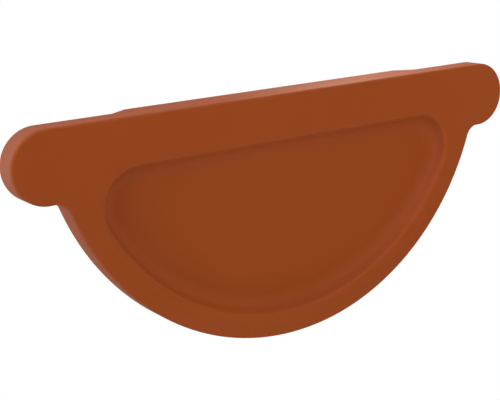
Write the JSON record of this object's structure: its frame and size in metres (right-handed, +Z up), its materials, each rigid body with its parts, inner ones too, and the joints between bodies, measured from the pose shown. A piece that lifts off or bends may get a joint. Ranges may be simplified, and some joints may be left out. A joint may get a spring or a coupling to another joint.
{
  "type": "gutter end cap",
  "caption": "Half-round gutter end cap pressed from coated steel sheet, with rounded ears, a shallow dished face and a folded-back flange with a tab that slides over the gutter's end.",
  "frame": {"origin": "on the axis of the half-round gutter, in the plane that the gutter's end stops against, which is the back of the cap's rim", "axes": "+X along the straight top edge, +Y back into the gutter, +Z up; the front of the cap faces -Y"},
  "size_m": [0.146, 0.009, 0.0613],
  "materials": {
    "coated_steel": "satin"
  },
  "bodies": {
    "root": {"end_cap": "coated_steel"}
  },
  "joints": []
}
